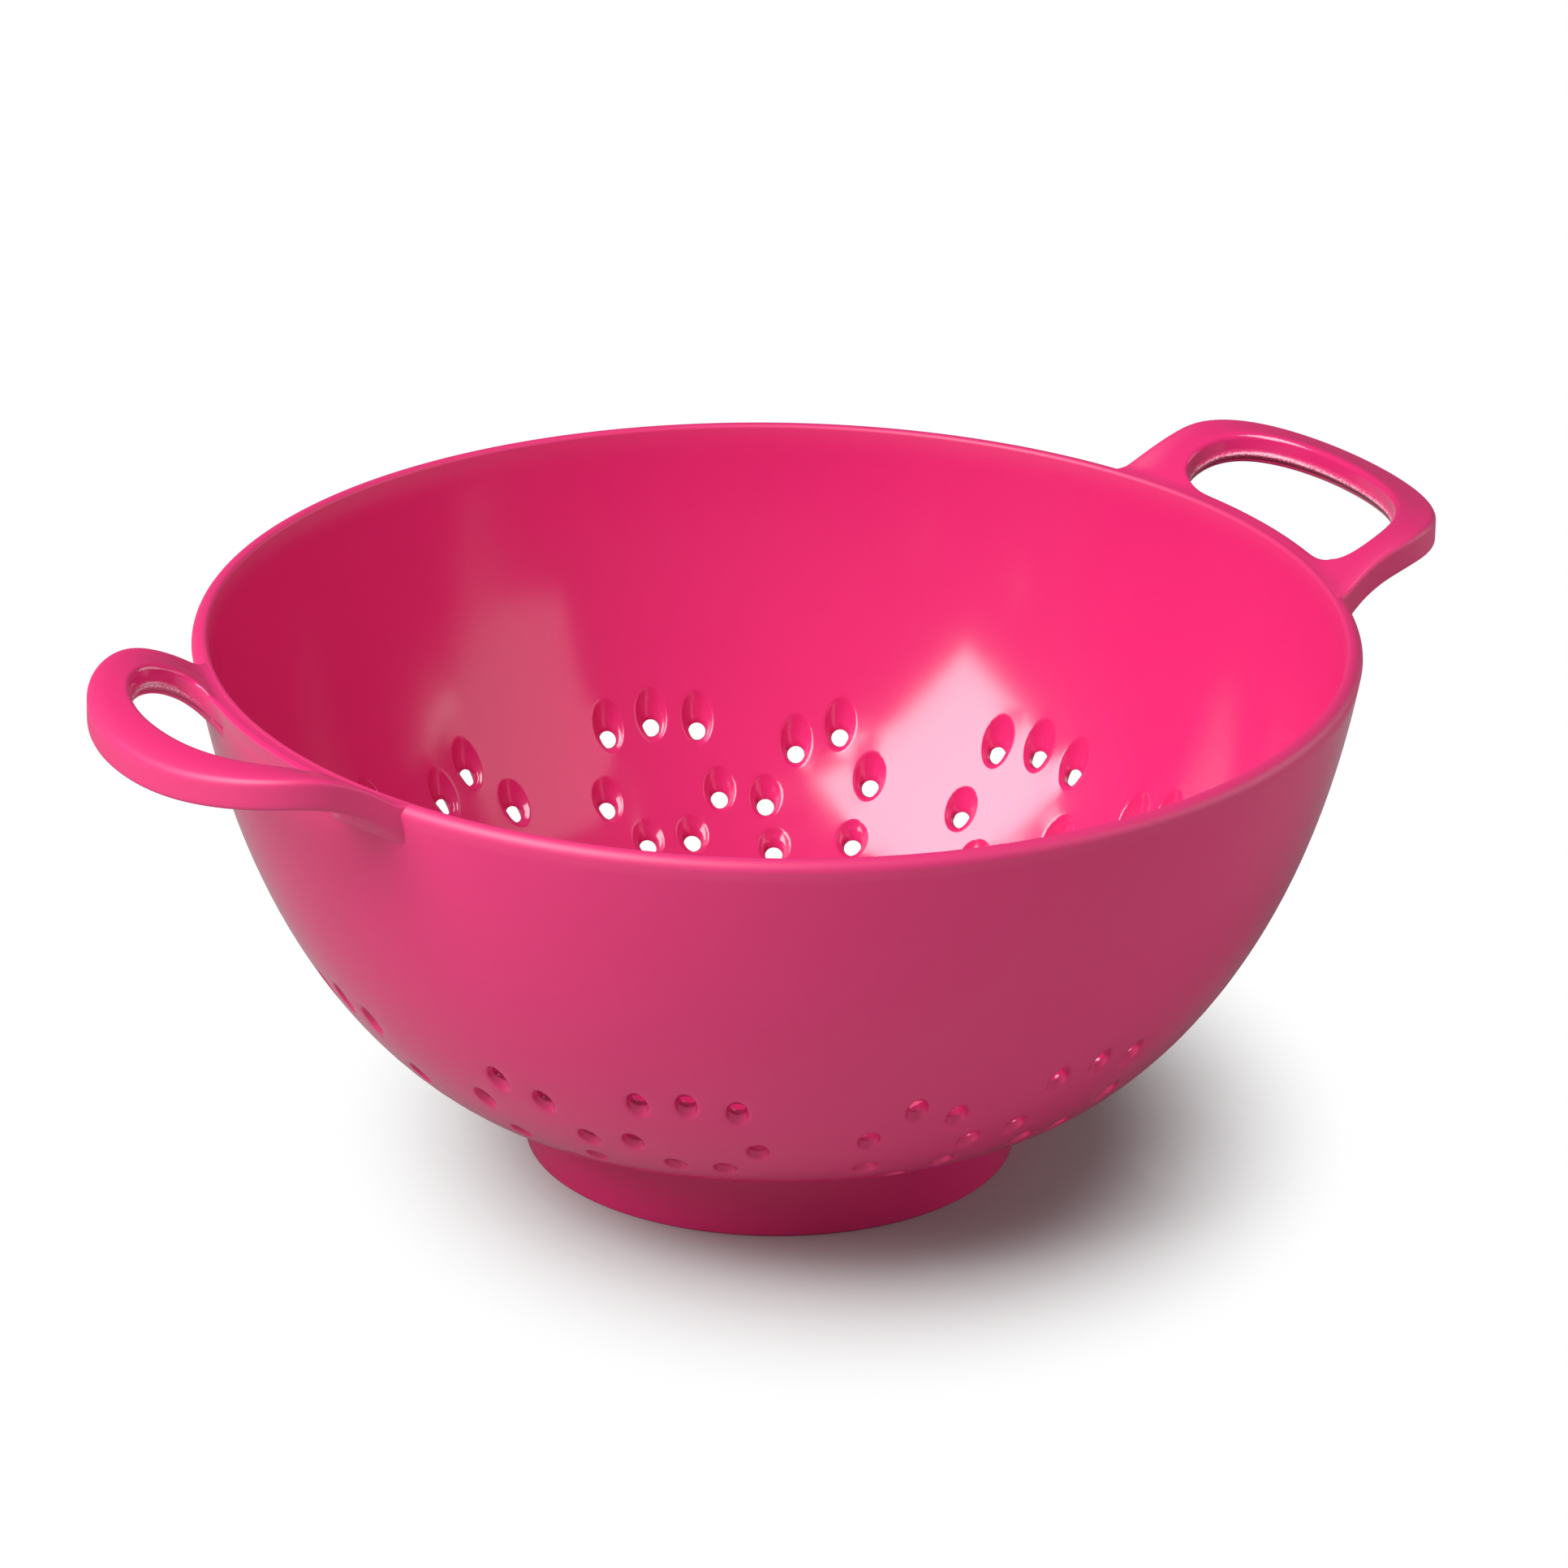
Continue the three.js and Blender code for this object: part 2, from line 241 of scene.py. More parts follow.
def holed_sheet(side, dish, fall, sign, vertices, faces):
    """Adds one face of the segment below the plain band, with its dishes pressed in.

    Returns the loops of its holes and its top edge, which are still open.
    """
    flat, laid, edges, hole_loops, dished = [], [], [], [], []

    def add(along, azimuth, depth):
        flat.append(Vector((along * math.cos(azimuth), along * math.sin(azimuth))))
        laid.append(side.at(along, azimuth, depth * sign))
        return len(flat) - 1

    for azimuth, radius in segment_holes():
        middle = hole_middle(side, radius)
        level = side.read(side.radius, middle)
        lip, bore = oval_of(side, middle, dish, "lip"), oval_of(side, middle, dish, "bore")
        for order, stage in enumerate(fall):
            loop = []
            for uphill, across, depth in ring_of(lip, bore, *stage):
                loop.append(add(middle + uphill, azimuth + across / level, depth))
            edges += list(zip(loop, loop[1:] + loop[:1]))
            if order == 0:
                hole_loops.append(loop)
        spread = fall[-1][2] + DISH_CLEARANCE
        dished.append((middle + lip[2], azimuth, level, lip[1] + spread, lip[0] + spread))

    def clear_of_dishes(along, azimuth):
        for middle, turned, level, length, width in dished:
            if ((along - middle) / length)**2 + ((azimuth - turned) * level / width)**2 <= 1:
                return False
        return True

    top = side.reach(HOLED_TO_HEIGHT)
    rows = max(2, round(top / MESH_PITCH))
    pole = add(0, 0, 0)
    left, right = [pole], [pole]
    for row in range(1, rows + 1):
        along = top * row / rows
        columns = SEGMENT_COLUMNS if row == rows else max(1, round(along * SEGMENT_TURN / MESH_PITCH))
        line = []
        for column in range(columns + 1):
            azimuth = SEGMENT_FROM + SEGMENT_TURN * column / columns
            if column in (0, columns) or row == rows or clear_of_dishes(along, azimuth):
                line.append(add(along, azimuth, 0))
        left.append(line[0])
        right.append(line[-1])
    for border in (left, right, line):
        edges += list(zip(border, border[1:]))

    points, _, triangles, origin, _, _ = delaunay_2d_cdt(flat, edges, [], 0, SAME_POINT, True)
    base = len(vertices)
    index = {}
    for made, sources in enumerate(origin):
        for source in sources:
            index[source] = base + made
        vertices.append(laid[sources[0]])
    # The triangles inside a hole, and the slivers along the two cuts, are left out
    left_out = [{index[corner] for corner in loop} for loop in hole_loops + [left, right]]
    for triangle in triangles:
        corners = [base + corner for corner in triangle]
        if any(loop.issuperset(corners) for loop in left_out):
            continue
        a, b, c = (points[corner] for corner in triangle)
        ccw = (b - a).cross(c - a) > 0
        faces.append(corners if ccw == (side is inside) else corners[::-1])
    return [[index[corner] for corner in loop] for loop in hole_loops], [index[corner] for corner in line]


def rim_profile():
    """The plain band over the rim: up the outside, over the well rounded top and down the inside."""
    bands = []
    for side, rounded in ((outside, RIM_ROUND), (inside, RIM_INNER_ROUND)):
        start, stop = side.reach(HOLED_TO_HEIGHT), side.reach(RIM_HEIGHT - rounded)
        # The outside swells to the rim's full radius by the time its rounding starts
        swell = RIM_RADIUS - side.read(side.radius, stop) if side is outside else 0.0
        band = []
        for share in np.linspace(0, 1, BAND_STATIONS)[:-1]:
            along = start + share * (stop - start)
            radius = side.read(side.radius, along) + swell * share * share
            band.append((radius, side.read(side.height, along)))
        bands.append(band)
    over = []
    for edge, rounded, first in ((RIM_RADIUS, RIM_ROUND, 0), (RIM_RADIUS - WALL, -RIM_INNER_ROUND, 90)):
        for step in range(RIM_ROUND_STEPS + 1):
            angle = math.radians(first + step * 90 / RIM_ROUND_STEPS)
            height = RIM_HEIGHT - abs(rounded) * (1 - math.sin(angle))
            over.append((edge - rounded + abs(rounded) * math.cos(angle), height))
    return bands[0] + over + bands[1][::-1]


def bowl_segment():
    """One segment as vertices, faces and how satin each vertex is: the rim is less polished than the wall."""
    vertices, faces = [], []
    outer_holes, outer_top = holed_sheet(outside, OUTER_DISH, OUTER_FALL, 1, vertices, faces)
    inner_holes, inner_top = holed_sheet(inside, INNER_DISH, INNER_FALL, -1, vertices, faces)
    satin = [0.0] * len(vertices)
    for outer, inner in zip(outer_holes, inner_holes):
        for i in range(HOLE_SIDES):
            j = (i + 1) % HOLE_SIDES
            faces.append([outer[i], inner[i], inner[j], outer[j]])
    rows = [outer_top]
    for radius, height in rim_profile()[1:-1]:
        row = []
        for column in range(SEGMENT_COLUMNS + 1):
            azimuth = SEGMENT_FROM + SEGMENT_TURN * column / SEGMENT_COLUMNS
            row.append(len(vertices))
            vertices.append((radius * math.cos(azimuth), radius * math.sin(azimuth), height))
            satin.append(clamped((height - RIM_HEIGHT + 2 * RIM_ROUND) / RIM_ROUND))
        rows.append(row)
    rows.append(inner_top)
    for low, high in zip(rows, rows[1:]):
        for i in range(SEGMENT_COLUMNS):
            faces.append([low[i], low[i + 1], high[i + 1], high[i]])
    return vertices, faces, satin


def new_mesh(name, vertices, faces, **attributes):
    """A smooth mesh from millimetres, with one number for each vertex in each attribute."""
    mesh = bpy.data.meshes.new(name)
    mesh.from_pydata([[size * MM for size in vertex] for vertex in vertices], [], faces)
    for attribute, values in attributes.items():
        mesh.attributes.new(attribute, "FLOAT", "POINT").data.foreach_set("value", values)
    mesh.polygons.foreach_set("use_smooth", [True] * len(mesh.polygons))
    mesh.update()
    return mesh


class Flow:
    """A node socket, so that node maths reads as a plain expression."""

    def __init__(self, tree, socket=None):
        self.tree, self.socket = tree, socket

    def node(self, kind, settings=None, sockets=None, out=0):
        made = self.tree.nodes.new(kind)
        for name, value in (settings or {}).items():
            setattr(made, name, value)
        for name, value in (sockets or {}).items():
            if isinstance(value, Flow):
                self.tree.links.new(value.socket, made.inputs[name])
            else:
                made.inputs[name].default_value = value
        return Flow(self.tree, made.outputs[out] if len(made.outputs) else None)

    def maths(self, operation, other):
        return self.node("ShaderNodeMath", {"operation": operation}, {0: self, 1: other})

    def __add__(self, other):
        return self.maths("ADD", other)

    def __sub__(self, other):
        return self.maths("SUBTRACT", other)

    def __mul__(self, other):
        return self.maths("MULTIPLY", other)

    def __truediv__(self, other):
        return self.maths("DIVIDE", other)

    def clamp(self):
        return self.node("ShaderNodeClamp", {}, {"Value": self})

    def mix(self, share, first, second):
        """Two colours, which the mix node has on its inputs 6 and 7 and on its output 2."""
        return self.node("ShaderNodeMix", {"data_type": "RGBA"}, {0: share, 6: first, 7: second}, 2)

    def noise(self, place, scale, detail, roughness=0.5):
        return self.node("ShaderNodeTexNoise", {}, {
            "Vector": place, "Scale": scale, "Detail": detail, "Roughness": roughness,
        })


# The melamine's pink wanders a little, its polish is lightly smeared, and sanded places are pale and dull.
# Noise scales are to the metre, and depths are in metres.
MELAMINE_PINK = (0.70, 0.026, 0.160, 1)
MELAMINE_DEEP = (0.66, 0.021, 0.146, 1)
SANDED_PINK = (0.78, 0.40, 0.50, 1)
MELAMINE_IOR = 1.6
POLISH = 0.15
SMEAR_DULLING = 0.05
SANDED_DULLING = 0.4
SATIN_DULLING = 0.36
CLOUD_SCALE = 38.0
SMEAR_SCALE = 120.0
WAVE_SCALE = 70.0
GRIT_SCALE = 2600.0
GRIT_CONTRAST = 7.0
GRIT_LEVEL = 2.8
WAVE_DEPTH = 0.00006
GRIT_DEPTH = 0.00012


def melamine():
    finish = bpy.data.materials.new("gloss_pink_melamine")
    finish.use_nodes = True
    finish.node_tree.nodes.clear()
    flow = Flow(finish.node_tree)
    place = flow.node("ShaderNodeTexCoord", out="Object")
    clouds = flow.noise(place, CLOUD_SCALE, 3.0)
    smears = flow.noise(place, SMEAR_SCALE, 4.0, 0.6)
    waves = flow.noise(place, WAVE_SCALE, 1.0)
    grit = flow.noise(place, GRIT_SCALE, 3.0, 0.7)
    sanded = flow.node("ShaderNodeAttribute", {"attribute_name": "sanded"}, out="Fac")
    satin = flow.node("ShaderNodeAttribute", {"attribute_name": "satin"}, out="Fac")
    rubbed = (sanded * (grit * GRIT_CONTRAST - GRIT_LEVEL)).clamp()
    colour = flow.mix(clouds, MELAMINE_PINK, MELAMINE_DEEP)
    colour = flow.mix(rubbed, colour, SANDED_PINK)
    gloss = smears * SMEAR_DULLING + (POLISH - SMEAR_DULLING / 2)
    gloss = gloss + rubbed * SANDED_DULLING + satin * SATIN_DULLING
    relief = waves * WAVE_DEPTH + grit * sanded * GRIT_DEPTH
    bump = flow.node("ShaderNodeBump", {}, {"Strength": 1.0, "Distance": 1.0, "Height": relief})
    shader = flow.node("ShaderNodeBsdfPrincipled", {}, {
        "Base Color": colour, "Roughness": gloss, "Normal": bump, "IOR": MELAMINE_IOR,
    })
    flow.node("ShaderNodeOutputMaterial", {}, {"Surface": shader})
    return finish


gloss_pink = melamine()

SEGMENT_INPUTS = {
    "Segment": "NodeSocketGeometry",
    "Segments": "NodeSocketInt",
    "Weld": "NodeSocketFloat",
    "Finish": "NodeSocketMaterial",
}
SEGMENT_VALUES = {"Segments": SEGMENTS, "Weld": WELD, "Finish": gloss_pink}


def segments_tree():
    """Turns one segment round the axis, welds the copies and gives them their finish."""
    tree = bpy.data.node_groups.new("bowl_segments", "GeometryNodeTree")
    for name, kind in SEGMENT_INPUTS.items():
        tree.interface.new_socket(name, in_out="INPUT", socket_type=kind)
    tree.interface.new_socket("Bowl", in_out="OUTPUT", socket_type="NodeSocketGeometry")
    flow = Flow(tree)
    segment, count, weld, finish = (flow.node("NodeGroupInput", out=name) for name in SEGMENT_INPUTS)
    turn = flow.node("GeometryNodeInputIndex") * (2 * math.pi) / count
    turned = flow.node("ShaderNodeCombineXYZ", {}, {"Z": turn})
    posts = flow.node("GeometryNodePoints", {}, {"Count": count})
    ring = flow.node("GeometryNodeInstanceOnPoints", {}, {
        "Points": posts, "Instance": segment, "Rotation": turned,
    })
    whole = flow.node("GeometryNodeRealizeInstances", {}, {"Geometry": ring})
    welded = flow.node("GeometryNodeMergeByDistance", {}, {"Geometry": whole, "Distance": weld})
    finished = flow.node("GeometryNodeSetMaterial", {}, {"Geometry": welded, "Material": finish})
    flow.node("NodeGroupOutput", {}, {"Bowl": finished})
    return tree


def place_piece(name, data):
    piece = bpy.data.objects.new(name, data)
    bpy.context.scene.collection.objects.link(piece)
    return piece


def settle(piece, finish):
    """Turns a piece's node tree into its plain mesh."""
    bpy.context.view_layer.update()
    made = bpy.context.evaluated_depsgraph_get()
    seen = piece.evaluated_get(made)
    mesh = bpy.data.meshes.new_from_object(seen, preserve_all_data_layers=True, depsgraph=made)
    piece.modifiers.clear()
    piece.data = mesh
    mesh.name = piece.name
    mesh.materials.clear()
    mesh.materials.append(finish)


vertices, faces, rim_satin = bowl_segment()
unsanded = [0.0] * len(vertices)
bowl = place_piece("bowl", new_mesh("bowl_segment", vertices, faces, sanded=unsanded, satin=rim_satin))
spin = bowl.modifiers.new("segments", "NODES")
spin.node_group = segments_tree()
for item in spin.node_group.interface.items_tree:
    if item.name in SEGMENT_VALUES:
        spin[item.identifier] = SEGMENT_VALUES[item.name]
settle(bowl, gloss_pink)
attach(bowl, "root")
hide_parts("bowl_shell")

# Foot ring: a low tapered ring under the floor, moulded in one with the bowl from the same melamine.
# Small fillets run it into the floor, and its base is rubbed flat so that it stands without rocking.
FOOT_RADIUS = 42.6
FOOT_TAPER = 0.2
FOOT_WALL = 3.2
FOOT_ROUND = 0.5
FOOT_FILLET = 1.4
FOOT_SINK = 0.6
FOOT_RUBBED_TO = 0.05
FOOT_COLUMNS = 168
FOOT_SIDE_STEPS = 6
QUARTER_STEPS = 6
STEP_DEGREES = 90 / QUARTER_STEPS


def foot_profile():
    """From the fillet inside, down and round the base, to the fillet outside: radius and height."""
    top_outer = FOOT_RADIUS + FOOT_TAPER
    top_inner = top_outer - FOOT_WALL
    low_inner = FOOT_RADIUS - FOOT_WALL
    under = FLOOR_UNDERSIDE - FOOT_FILLET
    hidden = FLOOR_UNDERSIDE + FOOT_SINK
    rows = []

    def quarter(radius, height, size, first, way):
        for step in range(QUARTER_STEPS + 1):
            angle = math.radians(first + way * step * STEP_DEGREES)
            rows.append((radius + size * math.cos(angle), height + size * math.sin(angle)))

    def straight(first, last):
        for share in np.linspace(0, 1, FOOT_SIDE_STEPS + 1)[1:-1]:
            rows.append((first[0] + share * (last[0] - first[0]), first[1] + share * (last[1] - first[1])))

    rows.append((top_inner - FOOT_FILLET, hidden))
    quarter(top_inner - FOOT_FILLET, under, FOOT_FILLET, 90, -1)
    straight((top_inner, under), (low_inner, FOOT_ROUND))
    quarter(low_inner + FOOT_ROUND, FOOT_ROUND, FOOT_ROUND, 180, 1)
    quarter(FOOT_RADIUS - FOOT_ROUND, FOOT_ROUND, FOOT_ROUND, 270, 1)
    straight((FOOT_RADIUS, FOOT_ROUND), (top_outer, under))
    quarter(top_outer + FOOT_FILLET, under, FOOT_FILLET, 180, -1)
    rows.append((top_outer + FOOT_FILLET, hidden))
    return rows


def foot_mesh():
    rows = foot_profile()
    vertices, faces, rubbed = [], [], []
    for radius, height in rows:
        for column in range(FOOT_COLUMNS):
            azimuth = 2 * math.pi * column / FOOT_COLUMNS
            vertices.append((radius * math.cos(azimuth), radius * math.sin(azimuth), height))
            rubbed.append(1.0 if height < FOOT_RUBBED_TO else 0.0)
    count = len(rows)
    for row in range(count):
        low, high = row * FOOT_COLUMNS, (row + 1) % count * FOOT_COLUMNS
        for i in range(FOOT_COLUMNS):
            j = (i + 1) % FOOT_COLUMNS
            faces.append([low + i, low + j, high + j, high + i])
    return new_mesh("foot_ring_moulded", vertices, faces, sanded=rubbed)


foot = place_piece("foot", foot_mesh())
foot.data.materials.append(gloss_pink)
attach(foot, "root")
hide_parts("foot_ring")

# Loop handles: two flat-sided loops that rise out of the rim in a low arch, moulded in one with the bowl.
# Their tops run flush over the rim, and the mould's parting line leaves a rubbed ridge inside each loop.
HANDLE_REACH = 26.8
HANDLE_HALF_WIDTH = 33.6
HANDLE_SHOULDER = (12.0, 20.0)
HANDLE_THICKNESS = 5.6
HANDLE_EDGE = 1.1
EDGE_SHARE = 0.45
GRIP_WIDTH = 7.4
ARM_WIDTH = 7.8
ARM_STRAIGHT = 4.0
LOOP_SHOULDER = (9.0, 15.0)
LOOP_CORNER = 9.0
ARCH_RISE = 7.08
ARCH_CREST = 16.0
ARCH_FALL = 19.0
ARCH_EASE = 0.6
# The web along the rim leans and is flat on top, and both fade along the corner into the arm
RIM_WEB = 1.0
WEB_LEAN = 2.1
WEB_LEAN_FADE = 0.7
WEB_FLAT = 0.8
# The root flares where it runs into the wall, with a sharp far edge that rounds off along the arm
ROOT_RADIUS = 97.9
ROOT_FLARE = 2.2
ROOT_FLARE_FROM = 91.0
ROOT_FLARE_TO = 105.5
ROOT_CORNER = 0.2
ROOT_ROUND = 1.2
ROOT_SINK = 0.075
ROOT_SINK_FROM = 0.5
ROOT_SINK_OVER = 1.1
UNDER_FILLET = 0.8
UNDER_FILLET_REACH = 5.0
# The ridge's profile: distance below its middle line and share of its full height there
RIDGE = 0.35
RIDGE_HALF = 0.35
RIDGE_AT = 3.7
RIDGE_PROFILE = [
    (1.0, 0), (RIDGE_HALF, 0.25), (RIDGE_HALF / 2, 1), (0, 1), (-RIDGE_HALF / 2, 0.8), (-RIDGE_HALF, 0.2),
    (-1.0, 0),
]
# It fades out near the bowl's wall
RIDGE_CLEAR_FROM = 2.0
RIDGE_CLEAR_OVER = 4.0
# The polish falls off towards a handle's outer side, between these shares of its width
SATIN_FROM = 0.3
SATIN_TO = 0.8
# How finely a loop is cut up, and over how many of its steps the web and root change into the arm
WEB_STEPS = 10
CORNER_STEPS = 20
BEND_STEPS = 40
FACE_STEPS = 5
SIDE_STEPS = 4
WEB_FADE_STEPS = (-1, 7)
ROOT_BLEND_STEPS = (-4, 0, 8)
ROOT_SEARCH_STEPS = 20


def curve(posts, steps):
    """Points along a Bezier curve, without its first one."""
    points = []
    for share in np.linspace(0, 1, steps + 1)[1:]:
        row = np.array(posts, dtype=float)
        while len(row) > 1:
            row = row[:-1] + share * (row[1:] - row[:-1])
        points.append(row[0])
    return points


def bend_to_grip(half, shoulder, reach):
    """Half of an arm's edge, from where it leaves its straight part to the middle of the grip."""
    bend = RIM_RADIUS + ARM_STRAIGHT
    return curve([(bend, half), (bend + shoulder[0], half), (reach, shoulder[1]), (reach, 0)], BEND_STEPS)


def loop_edge():
    """Half the plan of a loop's opening: along the web, round the corner, then to the middle of the grip."""
    half = HANDLE_HALF_WIDTH - ARM_WIDTH
    web = RIM_RADIUS + RIM_WEB
    web_end = half - LOOP_CORNER
    end_x = math.sqrt(web**2 - web_end**2)
    corner_x = end_x - LOOP_CORNER * web_end / end_x
    points = [np.array((web, 0.0))]
    points += curve([(web, 0), (web, web_end / 2), (end_x, web_end)], WEB_STEPS)
    points += curve([(end_x, web_end), (corner_x, half), (RIM_RADIUS + ARM_STRAIGHT, half)], CORNER_STEPS)
    return points + bend_to_grip(half, LOOP_SHOULDER, RIM_RADIUS + HANDLE_REACH - GRIP_WIDTH)


def outer_edge(loop):
    """The point across from each of the loop's: in the wall by the web and root, then along the outside."""
    half = HANDLE_HALF_WIDTH

    def flared(x):
        return half + ROOT_FLARE * (max(ROOT_FLARE_TO - x, 0) / (ROOT_FLARE_TO - ROOT_FLARE_FROM))**2

    root = ROOT_FLARE_FROM
    for _ in range(ROOT_SEARCH_STEPS):
        root = math.sqrt(ROOT_RADIUS**2 - flared(root)**2)
    points = [ROOT_RADIUS * point / np.hypot(*point) for point in loop[:WEB_STEPS + 1]]
    start = math.atan2(points[-1][1], points[-1][0])
    turn = math.atan2(flared(root), root)
    hidden = CORNER_STEPS // 2
    for step in range(1, hidden + 1):
        angle = start + (turn - start) * step / hidden
        points.append(ROOT_RADIUS * np.array((math.cos(angle), math.sin(angle))))
    for step in range(1, CORNER_STEPS - hidden + 1):
        x = root + (RIM_RADIUS + ARM_STRAIGHT - root) * step / (CORNER_STEPS - hidden)
        points.append(np.array((x, flared(x))))
    return points + bend_to_grip(half, HANDLE_SHOULDER, RIM_RADIUS + HANDLE_REACH)


def section_ring(width, far):
    """Round a handle's section, whose far edges have a rounding of their own.

    Each point has its place across from the loop, its height from the top, how much it faces down and
    how proud the ridge is there.
    """
    ring = []
    low, edge = HANDLE_THICKNESS, min(HANDLE_EDGE, EDGE_SHARE * width)

    def corner(across, down, rounded, first):
        for step in range(QUARTER_STEPS + 1):
            angle = math.radians(first - step * STEP_DEGREES)
            x, y = math.cos(angle), math.sin(angle)
            ring.append((across + rounded * x, down + rounded * y, max(-y, 0), 0.0))

    def straight(first, last, steps, lowness):
        for share in np.linspace(0, 1, steps + 2)[1:-1]:
            across = first[0] + share * (last[0] - first[0])
            ring.append((across, first[1] + share * (last[1] - first[1]), lowness, 0.0))

    corner(edge, -edge, edge, 180)
    straight((edge, 0), (width - far, 0), FACE_STEPS, 0)
    corner(width - far, -far, far, 90)
    straight((width, -far), (width, far - low), SIDE_STEPS, 0)
    corner(width - far, far - low, far, 0)
    straight((width - far, -low), (edge, -low), FACE_STEPS, 1)
    corner(edge, edge - low, edge, -90)
    for down, proud in RIDGE_PROFILE:
        ring.append((0.0, -RIDGE_AT - down, 0, proud))
    return ring


def arch_lift(beyond, down, flat):
    """How far a handle's top lies over the rim, eased into it, and how far its underside goes with it."""
    span = ARCH_CREST if beyond < ARCH_CREST else ARCH_FALL
    arch = ARCH_RISE * (1 - ((beyond - ARCH_CREST) / span)**2)
    eased = (1 - WEB_FLAT * flat) * (arch + math.sqrt(arch * arch + ARCH_EASE**2)) / 2
    sunk = ROOT_SINK * clamped((-beyond - ROOT_SINK_FROM) / ROOT_SINK_OVER)
    return arch + (eased - sunk - arch) * (1 + down / HANDLE_THICKNESS)


def handle_mesh(name, turn):
    loop = loop_edge()
    outer = outer_edge(loop)
    order = list(range(len(loop))) + list(range(len(loop) - 2, 0, -1))
    web_fade = [WEB_STEPS + step for step in WEB_FADE_STEPS]
    root_blend = [WEB_STEPS + CORNER_STEPS // 2 + step for step in ROOT_BLEND_STEPS]
    vertices, faces, rubbed, satin, rings = [], [], [], [], []
    for place, point in enumerate(order):
        flip = np.array((1, 1 if place < len(loop) else -1))
        inner, edge = loop[point] * flip, outer[point] * flip
        width = float(np.hypot(*(edge - inner)))
        way = (edge - inner) / width
        by_rim = clamped(1 - (point - WEB_STEPS) / (WEB_LEAN_FADE * CORNER_STEPS))
        lean = WEB_LEAN * by_rim * by_rim * (3 - 2 * by_rim)
        flat = float(np.interp(point, web_fade, (1, 0)))
        far = float(np.interp(point, root_blend, (ROOT_CORNER, ROOT_ROUND, HANDLE_EDGE)))
        row = []
        for across, down, lowness, proud in section_ring(width, far):
            satin.append(clamped((across / width - SATIN_FROM) / (SATIN_TO - SATIN_FROM)))
            across -= lean * down / HANDLE_THICKNESS * max(1 - across / width, 0)
            x, y = inner + way * across
            z = RIM_HEIGHT + arch_lift(math.hypot(x, y) - RIM_RADIUS, down, flat) + down
            from_wall = math.hypot(x, y) - outside.radius_at(min(z, RIM_HEIGHT))
            clear = clamped((from_wall - RIDGE_CLEAR_FROM) / RIDGE_CLEAR_OVER)
            x, y = (x, y) - way * RIDGE * proud * clear
            z -= UNDER_FILLET * lowness * clamped(1 - from_wall / UNDER_FILLET_REACH)**2
            row.append(len(vertices))
            vertices.append((x, y, z))
            rubbed.append(proud * clear)
        rings.append(row)
    for row, after in zip(rings, rings[1:] + rings[:1]):
        for i in range(len(row)):
            j = (i + 1) % len(row)
            faces.append([row[i], after[i], after[j], row[j]])
    mesh = new_mesh(name, vertices, faces, sanded=rubbed, satin=satin)
    mesh.transform(Matrix.Rotation(turn, 4, "Z"))
    return mesh


for name, node, turn in (("grip_right", "handle_right", 0.0), ("grip_left", "handle_left", math.pi)):
    grip = place_piece(name, handle_mesh(name, turn))
    grip.data.materials.append(gloss_pink)
    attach(grip, "root")
    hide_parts(node)

# Studio: a pale matt floor that turns white to the camera beyond an oval round the foot, so that only the
# shadow near the foot shows. The world behind it is white to the camera and dim to everything else.
FLOOR_HALF = 3.0
FLOOR_PALE = (0.47, 0.47, 0.47, 1)
FLOOR_BOUNCE = (0.58, 0.58, 0.58, 1)
FLOOR_MIRRORED = (0.28, 0.28, 0.28, 1)
WHITE = (1, 1, 1, 1)
CLEAR_MIDDLE = (0.0137, -0.0022, 0.0)
CLEAR_TURN = math.radians(-31.87)
CLEAR_STRETCH = (1.0, 1.245, 1.0)
CLEAR_FROM = 0.042
CLEAR_TO = 0.0905
GLOSS_SHARE = 0.08
WORLD_LIGHT = 0.1


def floor_finish():
    finish = bpy.data.materials.new("studio_floor")
    finish.use_nodes = True
    finish.node_tree.nodes.clear()
    flow = Flow(finish.node_tree)
    place = flow.node("ShaderNodeTexCoord", out="Object")
    moved = flow.node("ShaderNodeMapping", {"vector_type": "TEXTURE"}, {
        "Vector": place, "Location": CLEAR_MIDDLE, "Rotation": (0, 0, CLEAR_TURN), "Scale": CLEAR_STRETCH,
    })
    away = flow.node("ShaderNodeVectorMath", {"operation": "LENGTH"}, {0: moved}, "Value")
    clear = flow.node("ShaderNodeMapRange", {"interpolation_type": "SMOOTHSTEP"}, {
        "Value": away, "From Min": CLEAR_FROM, "From Max": CLEAR_TO,
    })
    by_camera = flow.node("ShaderNodeLightPath", out="Is Camera Ray")
    by_gloss = flow.node("ShaderNodeLightPath", out="Is Glossy Ray")
    by_glass = flow.node("ShaderNodeLightPath", out="Is Transmission Ray")
    cleared = (by_camera + by_gloss * GLOSS_SHARE + by_glass).clamp()
    colour = flow.mix(by_gloss, FLOOR_BOUNCE, FLOOR_MIRRORED)
    colour = flow.mix((by_camera + by_glass).clamp(), colour, FLOOR_PALE)
    matt = flow.node("ShaderNodeBsdfDiffuse", {}, {"Color": colour})
    white = flow.node("ShaderNodeEmission", {}, {"Color": WHITE, "Strength": 1.0})
    mixed = flow.node("ShaderNodeMixShader", {}, {0: clear * cleared, 1: matt, 2: white})
    flow.node("ShaderNodeOutputMaterial", {}, {"Surface": mixed})
    return finish


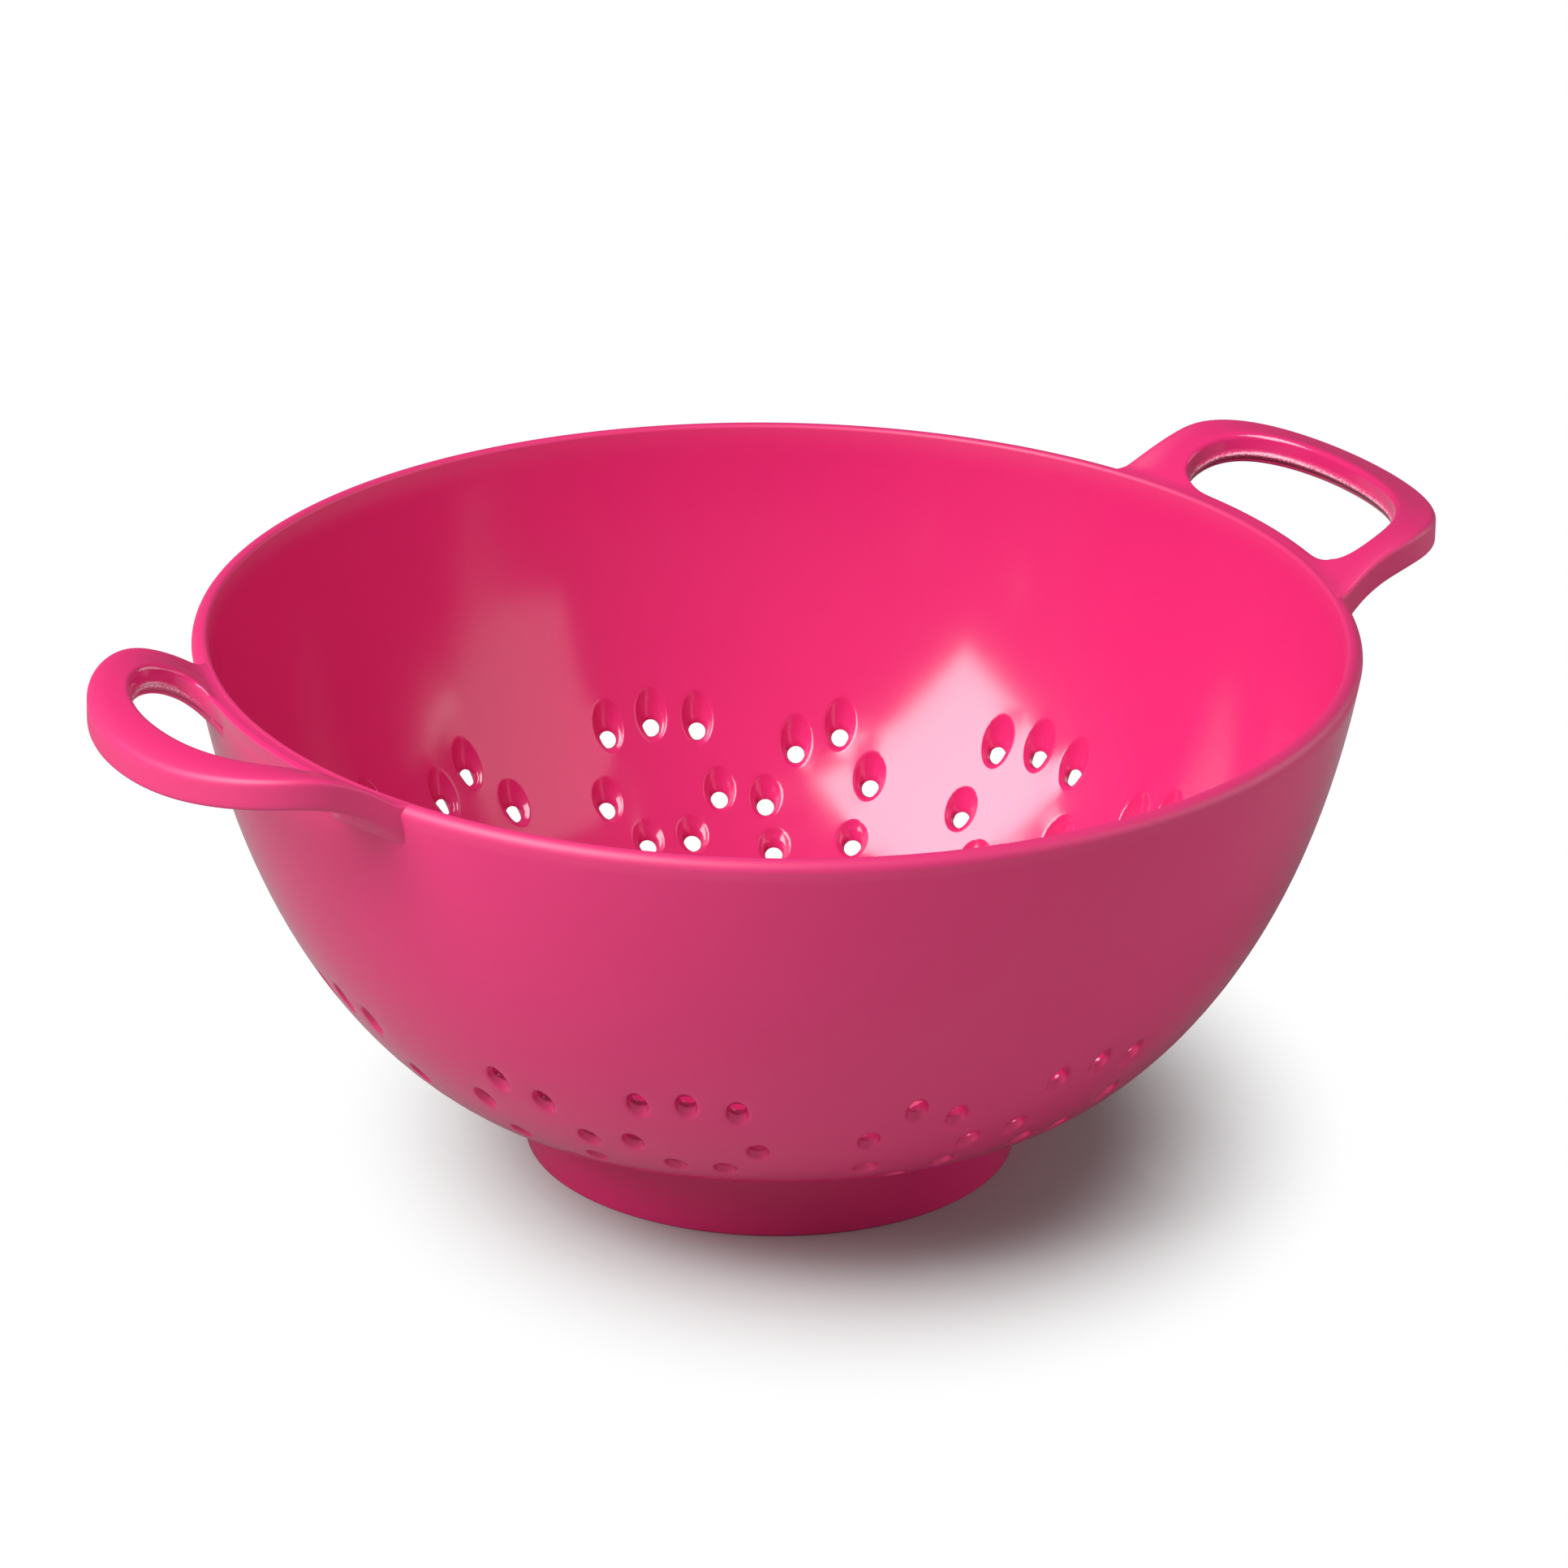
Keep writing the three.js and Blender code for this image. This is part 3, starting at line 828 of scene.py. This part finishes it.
def white_world():
    world = bpy.data.worlds.new("studio")
    world.use_nodes = True
    world.node_tree.nodes.clear()
    flow = Flow(world.node_tree)
    by_camera = flow.node("ShaderNodeLightPath", out="Is Camera Ray")
    level = by_camera * (1 - WORLD_LIGHT) + WORLD_LIGHT
    sky = flow.node("ShaderNodeBackground", {}, {"Color": WHITE, "Strength": level})
    flow.node("ShaderNodeOutputWorld", {}, {"Surface": sky})
    return world


corners = [(-FLOOR_HALF, -FLOOR_HALF, 0), (FLOOR_HALF, -FLOOR_HALF, 0)]
corners += [(FLOOR_HALF, FLOOR_HALF, 0), (-FLOOR_HALF, FLOOR_HALF, 0)]
floor_mesh = bpy.data.meshes.new("studio_floor")
floor_mesh.from_pydata(corners, [], [(0, 1, 2, 3)])
floor_mesh.materials.append(floor_finish())
place_piece("studio_floor", floor_mesh)
bpy.context.scene.world = white_world()

# Camera: a long lens that looks down on the rim, turned so that the handles lie on a slant.
# It stands where a fit to the photograph's rim, foot, handles and holes puts it.
VIEW_TURN = math.radians(31.87)
VIEW_DOWN = math.radians(23.137)
VIEW_ROLL = math.radians(0.91)
VIEW_DISTANCE = 1.664
VIEW_LENS = 223.6
SENSOR_WIDTH = 36.0
CLIP_END = 50
FRAME_PIXELS = 1932
RIM_MIDDLE_AT = (958.05, 775.4)


def camera_axes():
    ahead = Vector((0, math.cos(VIEW_DOWN), -math.sin(VIEW_DOWN)))
    right = Vector((1, 0, 0))
    above = Vector((0, math.sin(VIEW_DOWN), math.cos(VIEW_DOWN)))
    tilted = right * math.cos(VIEW_ROLL) + above * math.sin(VIEW_ROLL)
    above = above * math.cos(VIEW_ROLL) - right * math.sin(VIEW_ROLL)
    turned = Matrix.Rotation(-VIEW_TURN, 3, "Z")
    return turned @ tilted, turned @ above, turned @ ahead


right, above, ahead = camera_axes()
per_pixel = SENSOR_WIDTH / VIEW_LENS / FRAME_PIXELS * VIEW_DISTANCE
shift_right = (RIM_MIDDLE_AT[0] - FRAME_PIXELS / 2) * per_pixel
shift_up = (FRAME_PIXELS / 2 - RIM_MIDDLE_AT[1]) * per_pixel
spot = Vector((0, 0, RIM_HEIGHT * MM)) - right * shift_right - above * shift_up - ahead * VIEW_DISTANCE
lens = bpy.data.cameras.new("photo_camera")
lens.lens = VIEW_LENS
lens.sensor_fit = "HORIZONTAL"
lens.sensor_width = SENSOR_WIDTH
lens.clip_end = CLIP_END
camera = place_piece("photo_camera", lens)
axes = Matrix((right, above, -ahead)).transposed()
camera.matrix_world = Matrix.Translation(spot) @ axes.to_4x4()
bpy.context.scene.camera = camera

# Lights: one strong soft box high on the left and two weaker ones on the right, all facing the bowl.
# Angles are in degrees: to the right of the camera, above the floor and about the box's own axis.
LIGHT_AIM = Vector((0, 0, 0.06))


def softbox(name, turn, rise, roll, distance, width, height, watts):
    level = math.radians(rise)
    bearing = math.radians(turn) - VIEW_TURN
    away = Vector((
        math.sin(bearing) * math.cos(level),
        -math.cos(bearing) * math.cos(level),
        math.sin(level),
    ))
    lamp = bpy.data.lights.new(name, "AREA")
    lamp.shape = "RECTANGLE"
    lamp.size, lamp.size_y, lamp.energy = width, height, watts
    box = place_piece(name, lamp)
    facing = away.to_track_quat("Z", "Y").to_matrix().to_4x4() @ Matrix.Rotation(math.radians(roll), 4, "Z")
    box.matrix_world = Matrix.Translation(away * distance + LIGHT_AIM) @ facing


softbox("key_light", turn=-57.5, rise=47, roll=-16, distance=1.6, width=1.16, height=1.25, watts=42.5)
softbox("fill_light", turn=70, rise=31, roll=-15, distance=1.8, width=1.08, height=1.45, watts=5.8)
softbox("side_light", turn=106, rise=8, roll=0, distance=1.8, width=1.5, height=0.8, watts=9)

bpy.context.scene.view_settings.view_transform = "Standard"
